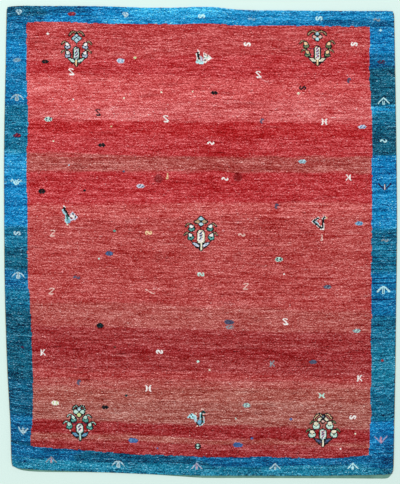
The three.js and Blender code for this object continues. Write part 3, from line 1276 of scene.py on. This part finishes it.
pile_across, side_inset, side_limit, cloth_across = edged(LOOM_WIDTH, KNOTS_ACROSS, pile_edge.side)
pile_along, end_inset, end_limit, cloth_along = edged(LOOM_LENGTH, KNOT_ROWS, pile_edge.end)
pile_across, side_inset = pile_across[None, :], side_inset[None, :]
pile_along, end_inset = pile_along[:, None], end_inset[:, None]
grid = (pile_along.size, pile_across.size)

PARTING_DEPTH = 0.0011
PARTING_SHADE = 0.16
LOOSE_ABOVE = 0.006

x, y = placed(pile_across, pile_along, side_inset, end_inset)
clumps = 0.0004 * drift(*grid, 1.1, 1.3, 21)
parted = smoothstep(drift(*grid, 0.9, 9, 22), 1.5, 2.4)
worn = 0.0003 * drift(*grid, 2.5, 7, 23)
z = PILE_HEIGHT + clumps + worn - PARTING_DEPTH * parted
for swell in swells:
    wave = np.sin(2 * np.pi * pile_across / swell.across) * np.cos(2 * np.pi * pile_along / swell.along)
    z = z + swell.height * wave
# Painted shade in the dents, built up along with their depth.
dent_shade = np.zeros(grid)
for dent in dents:
    distance = np.hypot(x - dent.across, y - dent.along)
    within = 1 - smoothstep(distance, DENT_FLOOR, DENT_RADIUS)
    z = z - dent.depth * within
    dent_shade = dent_shade + dent.darker * within
limit = np.minimum(side_limit[None, :], end_limit[:, None])
edge_sag = 0.0004 * drift(*grid, 1.5, 1.5, 24)
loose = limit > LOOSE_ABOVE
z = np.where(limit < 1, np.minimum(z, limit + edge_sag * loose), z)
lean = 0.0005 * loose
x = x + lean * drift(*grid, 0.7, 0.7, 25)
y = y + lean * drift(*grid, 0.7, 0.7, 26)
pile_points = np.stack([x, y, z], axis=-1)


def knotted_pile():
    """Cut wool tufts in the dye of each knot: a dome for each tuft, and fine fibres in it."""
    pile = Nodes("knotted wool")
    place = pile.add("ShaderNodeUVMap", uv_map="loom")
    dye = pile.add("ShaderNodeAttribute", attribute_name="dye")
    wander = pile.add("ShaderNodeTexNoise", 1, inputs={"Vector": place, "Scale": 180.0, "Detail": 1.0})
    bent = pile.scaled(wander, 0.7 * KNOT)
    tied = pile.add("ShaderNodeVectorMath", operation="ADD", inputs={0: place, 1: bent})
    within = pile.add("ShaderNodeVectorMath", operation="FRACTION", inputs={0: pile.scaled(tied, 1 / KNOT)})
    centred = pile.add("ShaderNodeVectorMath", operation="SUBTRACT", inputs={0: within, 1: (0.5, 0.5, 0.0)})
    distance = pile.add("ShaderNodeVectorMath", 1, operation="LENGTH", inputs={0: centred})
    tuft = pile.add(
        "ShaderNodeMapRange",
        inputs={"Value": distance, "From Min": 0.1, "From Max": 0.7, "To Min": 1.0, "To Max": 0.0},
        interpolation_type="SMOOTHSTEP",
    )
    fibres = pile.grain(place, 1500.0, 3.0)
    locks = pile.grain(pile.stretched(place, 160.0, 260.0), 1.0)
    # Painted shade: the colour darkens towards each tuft's edge, in the gaps between tufts; fibres and locks
    # vary it at random.
    light = pile.maths("MULTIPLY", pile.between(tuft, 0.86, 1.06), pile.between(fibres, 0.8, 1.2))
    light = pile.maths("MULTIPLY", light, pile.between(locks, 0.85, 1.15))
    height = pile.maths("MULTIPLY_ADD", tuft, 0.6, pile.maths("MULTIPLY", fibres, 0.4))
    rough = pile.between(fibres, 0.85, 1.0)
    return pile.finish(pile.scaled(dye, light), height, depth=0.0011, roughness=rough, sheen=0.04)


pile_wool = knotted_pile()
edge_knots = np.pad(wool, ((SKIRT, SKIRT), (SKIRT, SKIRT), (0, 0)), mode="edge")
# Painted shade: the knots' colours are darkened along the parted rows and in the dents, where the pile lies
# low.
dark = PARTING_SHADE * parted + dent_shade
shade = 1 - (dark[1:, 1:] + dark[:-1, :-1]) / 2
edge_knots = edge_knots * shade[..., None]
face_rows, face_columns = edge_knots.shape[:2]
starts = np.linspace(0, face_rows, COURSES + 1).round().astype(int)
MAP_MARGIN = 0.002


def dyed(piece, colours):
    """Gives each face of a piece its colour: the thread that it is tied or woven in, with any painted shade.
    """
    values = np.concatenate([colours.reshape(-1, 3), np.ones((colours.size // 3, 1))], axis=1)
    layer = piece.data.attributes.new("dye", "FLOAT_COLOR", "FACE")
    layer.data.foreach_set("color", values.astype(np.float32).ravel())


def half_and_half(rows, columns):
    """A map of a wide grid of faces, cut down the middle and stacked, so that it fills a square."""
    row, column = np.mgrid[0:rows, 0:columns]
    half = columns // 2
    right = (column >= half)[..., None]
    corner_column = np.stack([column, column + 1, column + 1, column], axis=-1) - half * right
    corner_row = np.stack([row, row, row + 1, row + 1], axis=-1)
    u = MAP_MARGIN + (1 - 2 * MAP_MARGIN) * corner_column / (columns - half)
    v = (MAP_MARGIN + (1 - 2 * MAP_MARGIN) * corner_row / rows + right) / 2
    return np.stack([u, v], axis=-1)


for n in range(COURSES):
    rows = slice(starts[n], starts[n + 1] + 1)
    points = pile_points[rows]
    faces = lattice(*points.shape[:2])
    course = cloth_piece(f"pile_course_{n + 1}", points, faces, pile_wool, "rug")
    dyed(course, edge_knots[starts[n] : starts[n + 1]])
    lay_out(course, "OFBake", half_and_half(starts[n + 1] - starts[n], face_columns))
    at = np.stack(np.broadcast_arrays(cloth_across[None, :], cloth_along[rows][:, None]), axis=-1)
    lay_out(course, "loom", at.reshape(-1, 2)[faces])

# The selvedges. The outer warps of each side are bundled into a cord and overcast with olive, blue and tan
# wool, turn after turn through the edge of the ground, so that the wraps lie close and a little slanting.

WRAP_PITCH = 0.0032
CORD_HALF_WIDTH = 0.0032
CORD_HALF_HEIGHT = 0.0030
CORD_OUT = -0.0005
CORD_SIDES = 12
RINGS_PER_WRAP = 3
CORD_END = 0.005
CORD_TIP = 0.0004
TAPER = 0.004
SLIMMEST = 0.35
FULLEST = 1.06
WRAP_RIDGE = 0.05
WRAP_UNEVEN = 0.015


def overcast_wool():
    """Tight turns of plied wool in olive, with lengths of blue and of tan where the thread was changed."""
    thread = Nodes("overcast wool")
    place = thread.add("ShaderNodeUVMap", uv_map="loom")
    lengths = thread.grain(thread.stretched(place, 0.0, 7.0), 1.0, 3.0)
    turns = thread.grain(thread.stretched(place, 0.0, 1 / WRAP_PITCH), 1.0, 1.0)
    fibres = thread.grain(thread.stretched(place, 2600.0, 900.0), 1.0)
    ramp = thread.add("ShaderNodeValToRGB", inputs={0: lengths})
    stops = ((0.30, (60, 84, 96)), (0.42, (98, 104, 88)), (0.55, (122, 118, 88)), (0.68, (150, 138, 106)))
    elements = ramp.node.color_ramp.elements
    for element, (position, colour) in ((elements[0], stops[0]), (elements[1], stops[-1])):
        element.position = position
        element.color = opaque(colour)
    for position, colour in stops[1:-1]:
        elements.new(position).color = opaque(colour)
    light = thread.maths("MULTIPLY", thread.between(fibres, 0.8, 1.2), thread.between(turns, 0.8, 1.2))
    rough = thread.between(fibres, 0.8, 0.95)
    return thread.finish(thread.scaled(ramp, light), fibres, depth=0.0004, roughness=rough, sheen=0.2)


selvedge_wool = overcast_wool()
wraps = round(LOOM_LENGTH / WRAP_PITCH)
cord_along = np.linspace(-LOOM_LENGTH / 2, LOOM_LENGTH / 2, wraps * RINGS_PER_WRAP + 1)
round_cord = np.arange(CORD_SIDES) / CORD_SIDES * 2 * np.pi
uneven = drift(wraps + 1, 4, 1.0, 0.01, 31)[:, 0]


def wrapped_cord(name, way):
    """One side's cord, a ring of points for each third of a turn of the wrapping thread."""
    across = np.full(cord_along.shape, way * LOOM_WIDTH / 2)
    x, y = placed(across, cord_along, CORD_OUT, CORD_TIP)
    from_end = np.minimum(cord_along - cord_along[0], cord_along[-1] - cord_along)
    kept = from_end > CORD_END
    x, y, along = x[kept][:, None], y[kept][:, None], cord_along[kept][:, None]
    taper = np.clip((from_end[kept][:, None] - CORD_END) / TAPER, SLIMMEST, 1)
    turn = along / WRAP_PITCH * 2 * np.pi + round_cord[None, :]
    wrap = (along / WRAP_PITCH).astype(int) % wraps
    thick = 1 - WRAP_RIDGE + WRAP_RIDGE * np.cos(turn) + WRAP_UNEVEN * uneven[wrap]
    thick = np.minimum(thick * taper, FULLEST)
    out = np.cos(round_cord) * CORD_HALF_WIDTH * thick
    up = CORD_HALF_HEIGHT + np.sin(round_cord) * CORD_HALF_HEIGHT * thick
    points = np.stack(np.broadcast_arrays(x + out, y, up), axis=-1)
    faces = lattice(len(x), CORD_SIDES, joined=True)[:, ::-1]
    caps = [np.arange(CORD_SIDES), np.arange(CORD_SIDES)[::-1] + (len(x) - 1) * CORD_SIDES]
    piece = cloth_piece(name, points, [*faces, *caps], selvedge_wool, name.replace("_wrap", ""))
    corners = corner_points(piece)
    girth = round_cord[corners % CORD_SIDES] * CORD_HALF_WIDTH
    lay_out(piece, "loom", np.stack([girth, along[corners // CORD_SIDES, 0]], axis=-1))
    return piece


selvedges = [wrapped_cord("selvedge_left_wrap", -1), wrapped_cord("selvedge_right_wrap", 1)]

# The woven ground. Wool warps run the length of the rug, and wefts hold each row of knots between them. From
# above the pile hides it, and on the underside the backs of the knots show the whole design again.

GROUND_THICKNESS = 0.0028
BACK_STEP = 2
GROUND_SIDE = 0.0032
GROUND_END = 0.0045
HEM_LIFT = 0.0011
HEM_SLOPE = 0.008


def knotted_back():
    """The backs of the knots: two small beads for each, in rows, with a weft between the rows."""
    back = Nodes("knotted back")
    place = back.add("ShaderNodeUVMap", uv_map="loom")
    dye = back.add("ShaderNodeAttribute", attribute_name="dye")
    beads = back.ribs(place, "X", KNOT / 2, 0.5, 60.0)
    rows = back.ribs(place, "Y", KNOT, 0.4, 50.0)
    fibres = back.grain(place, 1800.0, 2.0)
    height = back.maths("MULTIPLY", back.between(beads, 0.5, 1.0), back.between(rows, 0.3, 1.0))
    # Painted shade: the colour darkens between the beads and between the rows; the fibres vary it at random.
    light = back.maths("MULTIPLY", back.between(height, 0.7, 1.12), back.between(fibres, 0.85, 1.15))
    rough = back.between(fibres, 0.85, 0.97)
    return back.finish(back.scaled(dye, light), height, depth=0.0008, roughness=rough, sheen=0.15)


back_across = np.linspace(-LOOM_WIDTH / 2, LOOM_WIDTH / 2, KNOTS_ACROSS // BACK_STEP + 1)[None, :]
back_along = np.linspace(-LOOM_LENGTH / 2, LOOM_LENGTH / 2, KNOT_ROWS // BACK_STEP + 1)[:, None]
back_x, back_y = placed(back_across, back_along, GROUND_SIDE, GROUND_END)
from_end = LOOM_LENGTH / 2 - np.abs(back_along)
lift = HEM_LIFT * (1 - smoothstep(from_end, HEM - HEM_SLOPE / 2, HEM + HEM_SLOPE / 2))
back = np.stack(np.broadcast_arrays(back_x, back_y, lift), axis=-1)
back_points = back.reshape(-1, 3)
numbers = np.arange(len(back_points)).reshape(back.shape[:2])
rim = np.concatenate([numbers[0, :-1], numbers[:-1, -1], numbers[-1, :0:-1], numbers[:0:-1, 0]])
after = np.roll(np.arange(len(rim)), -1)
top_rim = len(back_points) + np.arange(len(rim))
top_middle = len(back_points) + len(rim)
above_rim = back_points[rim] * (1, 1, 0) + (0, 0, GROUND_THICKNESS)
ground_points = np.concatenate([back_points, above_rim, [[0, 0, GROUND_THICKNESS]]])
wall = np.stack([rim, rim[after], top_rim[after], top_rim], axis=-1)
top = np.stack([top_rim, top_rim[after], np.full(len(rim), top_middle)], axis=-1)
ground_faces = [*lattice(*back.shape[:2])[:, ::-1], *wall, *top]
ground_weave = cloth_piece("ground_weave", ground_points, ground_faces, knotted_back(), "rug")
back_knots = wool[::BACK_STEP, ::BACK_STEP].reshape(-1, 3)
edge_dye = np.broadcast_to(as_light(dyes["teal"]), (len(wall) + len(top), 3))
dyed(ground_weave, np.concatenate([back_knots, edge_dye]))
lay_out(ground_weave, "loom", ground_points[corner_points(ground_weave), :2])

# The floor, the light and the camera. The rug lies on a plain pale floor and is seen from straight above,
# under a broad soft light from the upper left.

FLOOR_SIZE = 14.0
FLOOR_GAP = 0.0004

bpy.ops.mesh.primitive_plane_add(size=FLOOR_SIZE, location=(0, 0, -FLOOR_GAP))
floor = bpy.context.object
floor.name = "floor"
paint = Nodes("pale floor")
paint.shader.inputs["Base Color"].default_value = opaque((212, 234, 227))
paint.shader.inputs["Roughness"].default_value = 0.7
floor.data.materials.append(paint.material)

PHOTO_HEIGHT = 484
METRES_PER_PIXEL = 0.00515
PHOTO_MIDDLE = (-0.0039, 0.0039)
LENS = 50
SENSOR = 36

camera_data = bpy.data.cameras.new("camera")
camera_data.lens = LENS
camera_data.sensor_width = SENSOR
camera = bpy.data.objects.new("camera", camera_data)
bpy.context.scene.collection.objects.link(camera)
camera.location = (*PHOTO_MIDDLE, PILE_HEIGHT + PHOTO_HEIGHT * METRES_PER_PIXEL * LENS / SENSOR)
bpy.context.scene.camera = camera

world = bpy.data.worlds.new("studio")
world.use_nodes = True
world.node_tree.nodes["Background"].inputs["Color"].default_value = (0.97, 0.99, 1.0, 1)
world.node_tree.nodes["Background"].inputs["Strength"].default_value = 0.6
bpy.context.scene.world = world
bpy.context.scene.view_settings.view_transform = "Standard"

softbox_data = bpy.data.lights.new("softbox", "AREA")
softbox_data.shape = "DISK"
softbox_data.size = 5.0
softbox_data.energy = 790
softbox = bpy.data.objects.new("softbox", softbox_data)
bpy.context.scene.collection.objects.link(softbox)
softbox.location = (-2.4, 3.6, 11.0)
softbox.rotation_mode = "QUATERNION"
softbox.rotation_quaternion = (-softbox.location).to_track_quat("-Z", "Y")
